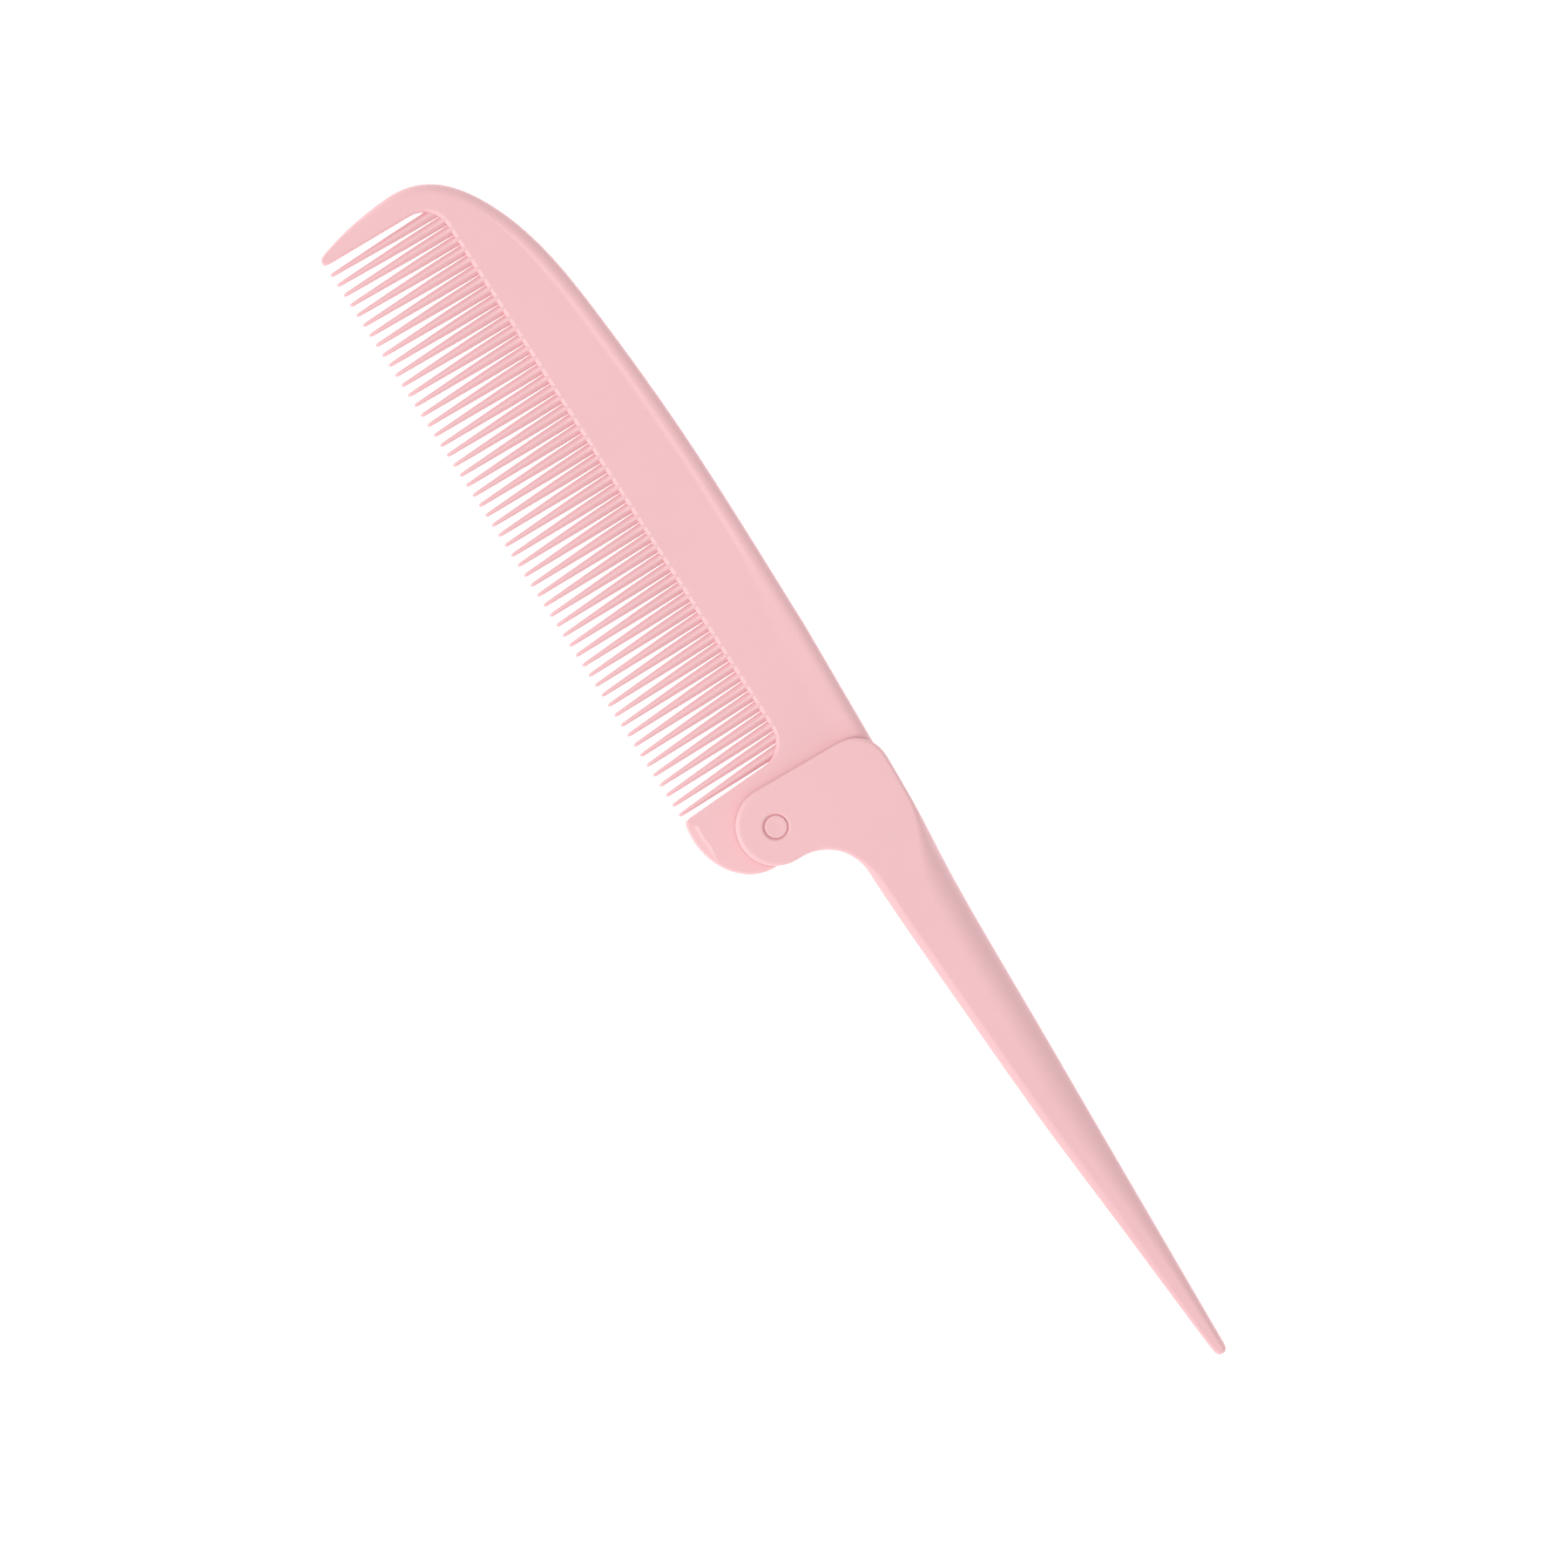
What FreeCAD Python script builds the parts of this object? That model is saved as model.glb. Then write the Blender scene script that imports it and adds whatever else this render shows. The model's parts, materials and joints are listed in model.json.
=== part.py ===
import FreeCAD, Part
import math
import os

os.makedirs("parts", exist_ok=True)
V = FreeCAD.Vector

# Folding rat tail comb, modelled open.
# The origin is on the pivot axis, at the flat back of the handle's head.
# +X runs from the tail to the far end of the comb, +Y towards the tooth tips,
# and +Z from the back of the head to its front.

# ---------------------------------------------------------------- thickness stack
CHEEK_THICK = 1.6
BODY_THICK = 3.0                # comb spine, guards and tang
SIDE_CLEARANCE = 0.1            # tang to each cheek
SLOT_WIDTH = BODY_THICK + 2 * SIDE_CLEARANCE
HEAD_THICK = SLOT_WIDTH + 2 * CHEEK_THICK
MID_Z = HEAD_THICK / 2

# ---------------------------------------------------------------- handle
KNUCKLE_R = 6.1                 # round end of the head, by the pivot
KNUCKLE_X = 0.15
HOLLOW_R = 7.5                  # hollow between the knuckle and the tail
HOLLOW_X = -13.4
HEAD_FRONT = KNUCKLE_X + KNUCKLE_R      # straight edge that crosses the comb
HEAD_BOTTOM = -19.9
HEAD_CORNER_R = 5.3
HEAD_EDGE_R = 0.5
NECK_X = -14.0                  # the head's plate ends and the tail's loft starts
TAIL_BACK = -19.3               # straight back edge of the tail
TAIL_END = -103.2
BULGE_FROM = -24.0              # the back edge swells from here to the head's bottom
BULGE_TO = -6.0

# Tail sections: x, y of the inner edge, thickness, width of the rounded back,
# width and height of the bevel on the inner edge.
TAIL_SECTIONS = [
    (NECK_X, -8.69, 6.4, 2.1, 0.9, 0.5),
    (-20.0, -9.05, 6.3, 3.9, 1.2, 0.6),
    (-40.0, -10.65, 5.5, 4.1, 1.2, 0.6),
    (-60.0, -12.40, 4.7, 4.0, 1.2, 0.6),
    (-80.0, -14.72, 3.7, 2.8, 1.1, 0.6),
    (-92.0, -16.05, 3.0, 1.9, 0.8, 0.5),
    (-102.3, -17.25, 2.3, 1.1, 0.6, 0.4),
]
TIP_SECTION = (TAIL_END, -17.85, 1.2, 0.5, 0.3, 0.3)

# Stations of the round that grows along the neck's back edge: x, width.
NECK_ROUNDS = [(NECK_X, 2.15), (-12.0, 1.45), (-10.0, 0.85), (-8.5, 0.6)]
NECK_MARGIN = 0.08              # the round's crown stays this far outside the plate

# ---------------------------------------------------------------- slot in the handle
STOP_X = -3.0                   # end wall that the tang meets when the comb is open
GUARD_FLOOR = -12.15            # floor that the base guard meets when it is closed
GUARD_SLOT_END = -11.2          # clears the corner of the base guard as it swings in
TOOTH_SLOT_WIDTH = 2.0
TOOTH_SLOT_END = -90.0          # beyond here the folded tips pass outside the tail
TIP_CLEARANCE = 0.7             # folded tooth tips to the floor of the tail's slot

# ---------------------------------------------------------------- pivot
PIN_R = 1.8
PIN_RUNNING_CLEARANCE = 0.05    # radial, in the tang
PIN_RECESS = 0.1                # at the front only; the pin is flush with the flat back
PIN_CHAMFER = 0.2
COUNTERSINK = 0.35

# ---------------------------------------------------------------- comb
COMB_TILT = 2.6                 # degrees, the rows of the comb against the tail's back edge
TOOTH_COUNT = 55
TOOTH_PITCH = 1.795
TOOTH_FAN = 1.2                 # degrees, lean of the first and last tooth away from the middle
FIRST_TOOTH = 9.58              # along the comb from the pivot
TIP_LINE = 11.55                # across the comb, from the pivot to the tooth tips
ROOT_LINE = -7.55
ROOT_OVERRUN = 0.6              # teeth start inside the spine and are trimmed to it
TANG_X = STOP_X + 0.1
TANG_KNUCKLE_R = 5.7
COMB_BACK = -19.2
COMB_EDGE_R = 1.2               # rounding of the comb's back edge
BASE_GUARD_INNER = 8.7          # inner side of each guard, near the roots
END_GUARD_INNER = 107.95
GUARD_LEAN = 0.5                # how much wider the gap is at the tips, on each side
CORNER_R = 4.2                  # between each guard and the root line

# Tooth stations: distance from the tip, width along the comb, thickness.
TOOTH_STATIONS = [
    (0.0, 0.34, 0.50),
    (0.4, 0.60, 0.85),
    (12.0, 1.41, 1.75),
    (TIP_LINE - ROOT_LINE + ROOT_OVERRUN, 1.73, 2.20),
]
TOOTH_BAND = 0.42               # flat band on a tooth, as a part of its width


# ---------------------------------------------------------------- helpers
def smoothstep(t):
    """Ease from 0 to 1."""
    t = min(max(t, 0.0), 1.0)
    return t * t * (3 - 2 * t)


def along_comb(x, y, z=0.0):
    """Point given along and across the comb's rows, in the part's frame."""
    a = math.radians(COMB_TILT)
    return V(x * math.cos(a) - y * math.sin(a), x * math.sin(a) + y * math.cos(a), z)


def curve(points, leave=None, arrive=None):
    """Smooth edge through points, with directions at both ends if they are given."""
    spline = Part.BSplineCurve()
    if leave is None:
        spline.interpolate(points)
    else:
        spline.interpolate(Points=points, InitialTangent=leave, FinalTangent=arrive)
    return spline.toShape()


def arc(start, middle, end):
    """Circular edge through three points."""
    return Part.Arc(start, middle, end).toShape()


def lines(*points):
    """Straight edges from point to point."""
    return [Part.makeLine(a, b) for a, b in zip(points, points[1:])]


def plate(edges, bottom, thickness):
    """Solid from closed edges in the XY plane."""
    wire = Part.Wire(Part.__sortEdges__(edges))
    solid = Part.Face(wire).extrude(V(0, 0, thickness))
    solid.translate(V(0, 0, bottom))
    return solid


def face_edges(solid, bottom, top, keep):
    """Outline edges of the two flat faces whose middle passes keep(x, y)."""
    chosen = []
    for edge in solid.Edges:
        box = edge.BoundBox
        flat = box.ZLength < 0.01 and min(abs(box.ZMin - bottom), abs(box.ZMin - top)) < 0.01
        middle = edge.valueAt((edge.FirstParameter + edge.LastParameter) / 2)
        if flat and keep(middle.x, middle.y):
            chosen.append(edge)
    return chosen


def solid_of(shape):
    """The single solid in a Boolean result."""
    return max(shape.Solids, key=lambda solid: solid.Volume)


# ---------------------------------------------------------------- handle
def back_edge(x):
    """y of the handle's back edge."""
    swell = smoothstep((x - BULGE_FROM) / (BULGE_TO - BULGE_FROM))
    return TAIL_BACK + (HEAD_BOTTOM - TAIL_BACK) * swell


def back_round(x, back, half, width):
    """Rounded back of a section: half an ellipse from the front face to the rear face."""
    points = []
    for step in range(9):
        angle = math.pi * step / 8
        points.append(V(x, back + width * (1 - math.sin(angle)), MID_Z + half * math.cos(angle)))
    return curve(points)


def tail_section(x, inner, thick, round_width, bevel_width, bevel_height):
    """Closed section of the tail, across X."""
    half = thick / 2
    back = back_edge(x)
    shoulder = inner - bevel_width
    low = MID_Z - half
    top = MID_Z + half
    inner_run = lines(
        V(x, back + round_width, low),
        V(x, shoulder, low),
        V(x, inner, low + bevel_height),
        V(x, inner, top - bevel_height),
        V(x, shoulder, top),
        V(x, back + round_width, top),
    )
    return Part.Wire(inner_run + [back_round(x, back, half, round_width)])


def tail():
    """Tapered tail: bevelled inner edge, rounded back, blunt tip."""
    body = Part.makeLoft([tail_section(*s) for s in TAIL_SECTIONS], True, False)
    ends = [tail_section(*TAIL_SECTIONS[-1]), tail_section(*TIP_SECTION)]
    return body.fuse(Part.makeLoft(ends, True, True))


def neck_cutter():
    """Cutter that leaves a round on the neck's back edge, growing into the tail's."""
    half = HEAD_THICK / 2
    far = BULGE_TO
    sections = []
    for x, width in NECK_ROUNDS:
        back = back_edge(x) - NECK_MARGIN
        shoulder = back + width
        run = lines(V(x, shoulder, 0), V(x, far, 0), V(x, far, HEAD_THICK), V(x, shoulder, HEAD_THICK))
        sections.append(Part.Wire(run + [back_round(x, back, half, width)]))
    length = NECK_ROUNDS[-1][0] - NECK_X
    block = Part.makeBox(length, 8, HEAD_THICK + 2, V(NECK_X, HEAD_BOTTOM - 3, -1))
    return block.cut(Part.makeLoft(sections, True, True))


def polar(centre, radius, degrees):
    """Point on a circle in the XY plane."""
    angle = math.radians(degrees)
    return centre + V(radius * math.cos(angle), radius * math.sin(angle), 0)


def round_corner(centre, radius, start, end):
    """Circular edge between two directions, in degrees."""
    middle = (start + end) / 2
    return arc(polar(centre, radius, start), polar(centre, radius, middle), polar(centre, radius, end))


def head():
    """Head plate with the round knuckle, trimmed at the neck."""
    inner = TAIL_SECTIONS[0][1]
    knuckle = V(KNUCKLE_X, 0, 0)
    span = KNUCKLE_R + HOLLOW_R
    drop = math.sqrt(span ** 2 - (KNUCKLE_X - HOLLOW_X) ** 2)
    hollow = V(HOLLOW_X, -drop, 0)
    facing = math.degrees(math.atan2(drop, KNUCKLE_X - HOLLOW_X))
    corner = V(HEAD_FRONT - HEAD_CORNER_R, HEAD_BOTTOM + HEAD_CORNER_R, 0)
    start = V(NECK_X, back_edge(NECK_X), 0)
    back = [start, V(-10, back_edge(-10), 0), V(BULGE_TO, HEAD_BOTTOM, 0), polar(corner, HEAD_CORNER_R, -90)]
    slope = V(1, back_edge(NECK_X + 0.5) - back_edge(NECK_X - 0.5), 0)
    neck_low = V(NECK_X, inner, 0)
    edges = [
        curve(back, slope, V(1, 0, 0)),
        round_corner(corner, HEAD_CORNER_R, -90, 0),
        Part.makeLine(polar(corner, HEAD_CORNER_R, 0), polar(knuckle, KNUCKLE_R, 0)),
        round_corner(knuckle, KNUCKLE_R, 0, 180 + facing),
        round_corner(hollow, HOLLOW_R, facing, -90),
        Part.makeLine(polar(hollow, HOLLOW_R, -90), neck_low),
        Part.makeLine(neck_low, start),
    ]
    blank = solid_of(plate(edges, 0, HEAD_THICK).cut(neck_cutter()))
    neck_end = NECK_ROUNDS[-1][0]
    rims = face_edges(blank, 0, HEAD_THICK, lambda x, y: x > neck_end or (x > NECK_X and y > -10))
    return solid_of(blank.makeFillet(HEAD_EDGE_R, rims))


def slot():
    """Cutter: the tang's slot in the head, and the tooth slot along the tail's inner edge."""
    low = MID_Z - SLOT_WIDTH / 2
    tang_room = Part.makeBox(20, 40, SLOT_WIDTH, V(STOP_X, -30, low))
    guard_room = Part.makeBox(STOP_X - GUARD_SLOT_END, 30, SLOT_WIDTH, V(GUARD_SLOT_END, GUARD_FLOOR, low))
    rise = math.tan(math.radians(COMB_TILT))
    floor = -TIP_LINE / math.cos(math.radians(COMB_TILT)) - TIP_CLEARANCE
    start = V(GUARD_SLOT_END, floor + rise * GUARD_SLOT_END, 0)
    end = V(TOOTH_SLOT_END, floor + rise * TOOTH_SLOT_END, 0)
    edges = lines(start, end, V(TOOTH_SLOT_END, 5, 0), V(GUARD_SLOT_END, 5, 0), start)
    tooth_room = plate(edges, MID_Z - TOOTH_SLOT_WIDTH / 2, TOOTH_SLOT_WIDTH)
    return tang_room.fuse([guard_room, tooth_room])


def handle():
    """One moulding: two cheeks, neck and tail."""
    bore = Part.makeCylinder(PIN_R, HEAD_THICK)
    rim = PIN_R + COUNTERSINK
    rear_sink = Part.makeCone(rim, PIN_R, COUNTERSINK)
    front_sink = Part.makeCone(PIN_R, rim, COUNTERSINK, V(0, 0, HEAD_THICK - COUNTERSINK))
    body = solid_of(head().fuse(tail()))
    return solid_of(body.cut([slot(), bore, rear_sink, front_sink]))


# ---------------------------------------------------------------- comb
def comb_gap_edges():
    """Inner edges of the guards, the root line and the two corners between them."""
    low = CORNER_R * (1 - math.sqrt(0.5))
    base = BASE_GUARD_INNER
    end = END_GUARD_INNER
    base_tip = along_comb(base - GUARD_LEAN, TIP_LINE - 0.55)
    end_tip = along_comb(end + GUARD_LEAN, TIP_LINE + 0.15)
    base_side = along_comb(base, ROOT_LINE + CORNER_R)
    base_root = along_comb(base + CORNER_R, ROOT_LINE)
    end_root = along_comb(end - CORNER_R, ROOT_LINE)
    end_side = along_comb(end, ROOT_LINE + CORNER_R)
    return base_tip, end_tip, [
        Part.makeLine(base_tip, base_side),
        arc(base_side, along_comb(base + low, ROOT_LINE + low), base_root),
        Part.makeLine(base_root, end_root),
        arc(end_root, along_comb(end - low, ROOT_LINE + low), end_side),
        Part.makeLine(end_side, end_tip),
    ]


def comb_spine():
    """Spine with both guards and the tang that turns in the head."""
    base_tip, end_tip, gap = comb_gap_edges()
    knuckle_top = V(-5.2, 2.33, 0)
    knuckle_low = V(TANG_X, -math.sqrt(TANG_KNUCKLE_R ** 2 - TANG_X ** 2), 0)
    guard_corner = V(7.25, 11.8, 0)
    far_end = V(112.15, 2.5, 0)
    tip_outer = V(109.25, 16.25, 0)
    edges = gap + [
        arc(base_tip, V(7.56, 11.68, 0), guard_corner),
        curve([guard_corner, V(2.0, 11.68, 0), V(-2.0, 9.75, 0), V(-4.5, 6.75, 0), knuckle_top]),
        arc(knuckle_top, V(-5.58, -1.17, 0), knuckle_low),
        Part.makeLine(knuckle_low, V(TANG_X, -18.7, 0)),
        arc(V(TANG_X, -18.7, 0), V(TANG_X + 0.15, -19.05, 0), V(TANG_X + 0.5, COMB_BACK, 0)),
        Part.makeLine(V(TANG_X + 0.5, COMB_BACK, 0), V(24, COMB_BACK, 0)),
        curve([
            V(24, COMB_BACK, 0), V(40, -18.75, 0), V(60, -17.85, 0), V(80, -15.95, 0),
            V(96, -13.05, 0), V(104, -9.7, 0), V(109.3, -5.6, 0), far_end,
        ]),
        curve([far_end, V(111.6, 7.5, 0), tip_outer]),
        arc(tip_outer, V(108.85, 16.6, 0), end_tip),
    ]
    blank = plate(edges, MID_Z - BODY_THICK / 2, BODY_THICK)
    low = MID_Z - BODY_THICK / 2
    rims = face_edges(blank, low, low + BODY_THICK, lambda x, y: (x > 9 and y < -9.5) or x > 109.6)
    rounded = blank.makeFillet(COMB_EDGE_R, rims)
    hole = Part.makeCylinder(PIN_R + PIN_RUNNING_CLEARANCE, HEAD_THICK)
    return solid_of(rounded.cut(hole))


def tooth_ring(depth, width, thick):
    """Six-sided section of a tooth: flat bands front and rear, bevelled flanks."""
    y = TIP_LINE - depth
    band = width * TOOTH_BAND / 2
    corners = [
        V(-width / 2, y, 0), V(-band, y, thick / 2), V(band, y, thick / 2),
        V(width / 2, y, 0), V(band, y, -thick / 2), V(-band, y, -thick / 2), V(-width / 2, y, 0),
    ]
    return Part.makePolygon(corners)


def comb_teeth(spine):
    """Row of tapered teeth, trimmed to the spine that they grow from."""
    tooth = Part.makeLoft([tooth_ring(*s) for s in TOOTH_STATIONS], True, True)
    middle = (TOOTH_COUNT - 1) / 2
    teeth = []
    for number in range(TOOTH_COUNT):
        lean = TOOTH_FAN * (middle - number) / middle
        copy = tooth.copy()
        copy.rotate(V(0, 0, 0), V(0, 0, 1), COMB_TILT + lean)
        copy.translate(along_comb(FIRST_TOOTH + number * TOOTH_PITCH, 0, MID_Z))
        teeth.append(solid_of(copy.cut(spine)))
    return Part.makeCompound(teeth)


# ---------------------------------------------------------------- pivot
def pivot_pin():
    """Plain pin, pressed into both cheeks; the tang turns on it."""
    pin = Part.makeCylinder(PIN_R, HEAD_THICK - PIN_RECESS)
    rims = [edge for edge in pin.Edges if edge.BoundBox.ZLength < 0.01]
    return pin.makeChamfer(PIN_CHAMFER, rims)


# ---------------------------------------------------------------- nodes
spine = comb_spine()
nodes = {
    "handle": handle(),
    "pivot_pin": pivot_pin(),
    "comb_spine": spine,
    "comb_teeth": comb_teeth(spine),
}
for name, shape in nodes.items():
    shape.exportStep("parts/" + name + ".step")
    box = shape.BoundBox
    print(name, shape.isValid(), len(shape.Solids), round(shape.Volume, 1), box)
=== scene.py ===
"""Looks of a folding rat tail comb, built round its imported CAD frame.

Each visible piece is a fine mesh that stands for one CAD node. Outlines are cut from the CAD
solids, so every piece has the size and place that the frame gives it. Metres throughout.
"""
import json
import math

import bmesh
import bpy
import numpy as np
from mathutils import Euler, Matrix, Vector
from mathutils.geometry import delaunay_2d_cdt


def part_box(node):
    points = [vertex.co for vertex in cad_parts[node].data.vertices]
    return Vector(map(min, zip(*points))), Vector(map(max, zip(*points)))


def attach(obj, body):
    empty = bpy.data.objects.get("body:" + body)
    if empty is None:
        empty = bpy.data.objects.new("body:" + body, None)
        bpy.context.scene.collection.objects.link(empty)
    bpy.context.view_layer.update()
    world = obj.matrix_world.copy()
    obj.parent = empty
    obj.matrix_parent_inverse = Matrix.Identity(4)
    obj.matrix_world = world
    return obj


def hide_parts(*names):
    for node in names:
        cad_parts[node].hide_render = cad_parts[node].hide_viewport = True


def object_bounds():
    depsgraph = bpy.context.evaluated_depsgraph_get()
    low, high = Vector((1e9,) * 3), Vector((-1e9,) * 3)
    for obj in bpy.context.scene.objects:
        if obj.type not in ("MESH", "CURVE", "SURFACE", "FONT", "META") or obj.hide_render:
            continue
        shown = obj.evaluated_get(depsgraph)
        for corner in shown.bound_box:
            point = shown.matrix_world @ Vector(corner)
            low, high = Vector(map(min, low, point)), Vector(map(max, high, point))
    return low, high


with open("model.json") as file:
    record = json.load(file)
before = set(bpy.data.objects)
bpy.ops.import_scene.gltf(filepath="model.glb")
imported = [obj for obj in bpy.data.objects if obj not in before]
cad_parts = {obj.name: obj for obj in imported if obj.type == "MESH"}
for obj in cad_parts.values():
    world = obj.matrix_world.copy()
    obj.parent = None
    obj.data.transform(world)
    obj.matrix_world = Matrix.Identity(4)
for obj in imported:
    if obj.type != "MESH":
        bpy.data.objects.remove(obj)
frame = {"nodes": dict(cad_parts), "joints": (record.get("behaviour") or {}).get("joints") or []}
cad_low, cad_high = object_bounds()

# ---------------------------------------------------------------- places from the frame
MM = 0.001
UP = Vector((0, 0, 1))
PIVOT = Vector(frame["joints"][0]["pos_m"])
MID_Z = PIVOT.z
HEAD_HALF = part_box("handle")[1].z - MID_Z
SPINE_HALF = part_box("comb_spine")[1].z - MID_Z
PIN_LOW, PIN_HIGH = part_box("pivot_pin")
TAIL_TIP_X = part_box("handle")[0].x

# ---------------------------------------------------------------- handle
BACK_X = -6 * MM                # along the back, the head ends and the tail begins
NECK_X = -14 * MM               # and so along the inner side
TIP_ROUND = 0.9 * MM
TIP_BLUNT = 0.65                # 1 is an elliptical tip, less is a blunter one
EDGE_ROUND = 0.5 * MM
EDGE_WIDTH = 0.6 * MM
KNUCKLE_EDGE_WIDTH = 0.8 * MM
BACK_ROUND_WIDTH = 4.1 * MM     # soft round along the tail's back
BACK_ROUND_SHARE = 0.6          # but never more than this part of the tail's width
END_ROUND_SHARE = 0.4           # and less near the tail's end
BACK_ROOM = 0.58                # part of the room in front of it that the back's round may use
BEVEL_WIDTH = 1.2 * MM          # lit bevel along the tail's inner edge
BEVEL_HEIGHT = 0.38 * MM
BEVEL_SHARE = 0.28
END_BEVEL_SHARE = 0.2
BEVEL_ROOM = 0.34
END_FROM = -55 * MM             # both get narrower from here
END_TO = -97 * MM               # to here
COUNTERSINK = 0.4 * MM          # wide lip round the bore
SLOT_HALF = 1.6 * MM            # room for the tang between the cheeks
TOOTH_SLOT_HALF = 1.0 * MM
STOP_X = -3 * MM                # the open tang rests on this wall
GUARD_FLOOR_Y = -12.15 * MM     # the closed guard rests on this floor
GUARD_SLOT_X = -11.2 * MM
TOOTH_SLOT_X = -90 * MM
TOOTH_FLOOR_Y = -12.26 * MM     # floor of the tooth slot, carried on to the pivot

# ---------------------------------------------------------------- comb
FACE_HOLLOW = 0.12 * MM         # the spine's flat face lies this far below its rounded back
SPINE_ROUND_WIDTH = 1.7 * MM
LIP_DEPTH = 0.26 * MM           # rebate round the base guard's outer corner
LIP_WIDTH = 0.75 * MM
GAP_BEVEL = 0.2 * MM            # along the inner sides of the guards
ROOT_BEVEL = 0.55 * MM          # width along the roots, broken by the teeth's ridges
ROOT_BEVEL_DROP = 0.3 * MM
TOOTH_BAND = 0.25               # flat band on a tooth, as a part of its width
TOOTH_BURY = 0.25 * MM

ROOT_LINE = -7.55 * MM          # across the comb, from the pivot to the roots
GAPS_FROM = 8.1 * MM            # along the comb, the row of gaps between the guards
GAPS_TO = 108.46 * MM
RIDGE_WIDTH = 1.71 * MM         # a tooth's ridge where it meets the roots

# Taper of a tooth, in mm: distance from the tip, width and half thickness.
TOOTH_TABLE = [
    (0.0, 0.16, 0.16),
    (0.06, 0.34, 0.26),
    (0.2, 0.50, 0.36),
    (0.5, 0.62, 0.44),
    (2.0, 0.72, 0.52),
    (4.0, 0.85, 0.60),
    (8.0, 1.12, 0.75),
    (12.0, 1.41, 0.88),
    (15.5, 1.57, 0.97),
]

# ---------------------------------------------------------------- pivot pin
PIN_SOFT = 0.25 * MM            # width of the softened rim
PIN_DROP = 0.45 * MM            # and its height
PIN_DISH = 0.05 * MM
PIN_COUNT = 72                  # points round the pin

# ---------------------------------------------------------------- fineness of the meshes
RIM_RINGS = 9                   # rings on the curved part of a rim
FADE_RINGS = 4
TAIL_CUTS = 66
TIP_POINTS = 16
BORE_POINTS = 96                # round the bore in the cheeks
TANG_HOLE_POINTS = 72
EASING_ROUNDS = 4               # for outlines
NORMAL_ROUNDS = 6               # for directions into the material
LEAST_FLAT = 0.02 * MM          # strip and fade of a rim that needs neither
LEAST_FADE = 0.08 * MM

# ---------------------------------------------------------------- stage
FLOOR_GAP = 0.2 * MM            # the floor lies this far under the part
KEY_PLACE = (0.12, 0.66, 0.72)
KEY_SIZE = 0.45
KEY_POWER = 4
SKY_WEAK = 0.56                 # strength of the surroundings on the side of the tail's back
SKY_STRONG = 0.98               # and on the side of the tooth tips


# ---------------------------------------------------------------- small helpers
def smoothstep(low, high, value):
    """Ease from 0 at low to 1 at high."""
    t = min(max((value - low) / (high - low), 0.0), 1.0)
    return t * t * (3 - 2 * t)


def mix(a, b, t):
    """Value a part of the way from a to b."""
    return a + (b - a) * t


def centre(points):
    """Mean of some points in 2D."""
    return sum(points, Vector((0, 0))) / len(points)


def take_first(left):
    """Remove and give the first key of a dict, whose order is the same on each run."""
    first = next(iter(left))
    del left[first]
    return first


def link(mesh, name):
    """New object in the scene for a mesh."""
    obj = bpy.data.objects.new(name, mesh)
    bpy.context.scene.collection.objects.link(obj)
    return obj


def piece_from(bm, name):
    """Object from a bmesh, welded and with its faces turned outwards."""
    bmesh.ops.remove_doubles(bm, verts=bm.verts, dist=1e-6)
    bmesh.ops.recalc_face_normals(bm, faces=bm.faces)
    mesh = bpy.data.meshes.new(name)
    bm.to_mesh(mesh)
    bm.free()
    return link(mesh, name)


def smooth_shading(obj, degrees=32):
    """Smooth faces, sharp where the surface turns by more than an angle, with clean normals."""
    obj.data.shade_smooth()
    obj.data.set_sharp_from_angle(angle=math.radians(degrees))
    weighted = obj.modifiers.new("even_normals", "WEIGHTED_NORMAL")
    weighted.keep_sharp = True


# ---------------------------------------------------------------- outlines from the CAD
def cut_loops(node, point, normal):
    """Closed loops of points where a plane cuts a CAD node, longest first."""
    bm = bmesh.new()
    bm.from_mesh(frame["nodes"][node].data)
    bmesh.ops.remove_doubles(bm, verts=bm.verts, dist=2e-6)
    everything = bm.verts[:] + bm.edges[:] + bm.faces[:]
    bmesh.ops.bisect_plane(
        bm, geom=everything, plane_co=point, plane_no=normal, clear_inner=True, clear_outer=True
    )
    bmesh.ops.remove_doubles(bm, verts=bm.verts, dist=2e-6)
    loops = []
    left = dict.fromkeys(bm.verts)
    while left:
        vert = take_first(left)
        loop = [vert]
        onward = True
        while onward:
            onward = [v for v in (e.other_vert(vert) for e in vert.link_edges) if v in left]
            if onward:
                vert = onward[0]
                del left[vert]
                loop.append(vert)
        if len(loop) > 4:
            loops.append([v.co.copy() for v in loop])
    bm.free()
    return sorted(loops, key=perimeter, reverse=True)


def perimeter(loop):
    """Length round a closed loop."""
    return sum((a - b).length for a, b in zip(loop, loop[1:] + loop[:1]))


def turned(loop):
    """The loop in 2D, running anticlockwise seen from above."""
    flat = [p.to_2d() for p in loop]
    area = sum(a.cross(b) for a, b in zip(flat, flat[1:] + flat[:1]))
    return flat[::-1] if area < 0 else flat


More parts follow.
